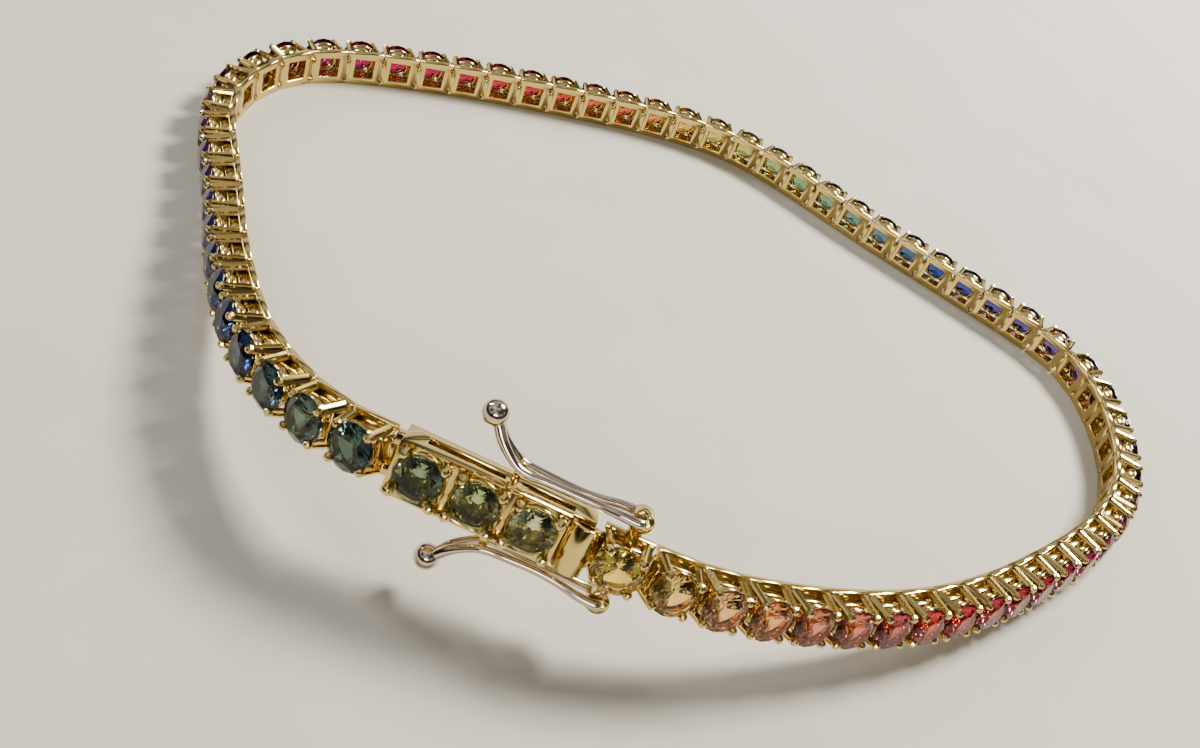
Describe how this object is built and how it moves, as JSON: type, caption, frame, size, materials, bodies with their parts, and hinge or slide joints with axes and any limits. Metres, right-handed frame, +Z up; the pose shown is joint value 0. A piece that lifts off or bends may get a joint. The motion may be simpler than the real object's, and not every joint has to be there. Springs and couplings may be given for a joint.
{
  "type": "tennis bracelet",
  "caption": "Closed row of round faceted stones in four-prong gold links, with a box clasp, a folded spring tongue with a thumb tab, and two wire safety latches.",
  "frame": {"origin": "middle of the bracelet's footprint, on the surface that it lies on", "axes": "+Z up across the chain's width, +X along the clasp's side of the loop, from the clasp's box towards its end link, -Y from the middle of the loop towards the clasp"},
  "size_m": [0.0696, 0.053, 0.0102],
  "materials": {
    "yellow_gold": "polished warm yellow gold",
    "white_gold": "polished white gold wire",
    "chain_stones": "faceted stones in a rainbow run",
    "green_stone_dark": "faceted dark green stone",
    "green_stone": "faceted green stone",
    "green_stone_light": "faceted light green stone",
    "yellow_stone": "faceted golden yellow stone"
  },
  "bodies": {
    "bracelet": {"chain_left": "yellow_gold", "chain_right": "yellow_gold", "clasp_box": "yellow_gold", "box_stone_1": "green_stone_dark", "box_stone_2": "green_stone", "box_stone_3": "green_stone_light", "end_link_and_tongue": "yellow_gold", "end_stone": "yellow_stone"},
    "upper_latch": {"latch_upper": "white_gold"},
    "lower_latch": {"latch_lower": "white_gold"}
  },
  "joints": [
    {"name": "upper_latch_swing", "type": "hinge", "parent": "bracelet", "child": "upper_latch", "pos_m": [0.00161, -0.02265, 0.00758], "axis": [-0.0822, 0.91, -0.4063], "range_deg": [0, 100]},
    {"name": "lower_latch_swing", "type": "hinge", "parent": "bracelet", "child": "lower_latch", "pos_m": [0.00154, -0.02459, 0.00325], "axis": [0.0822, -0.91, 0.4063], "range_deg": [0, 100]}
  ]
}
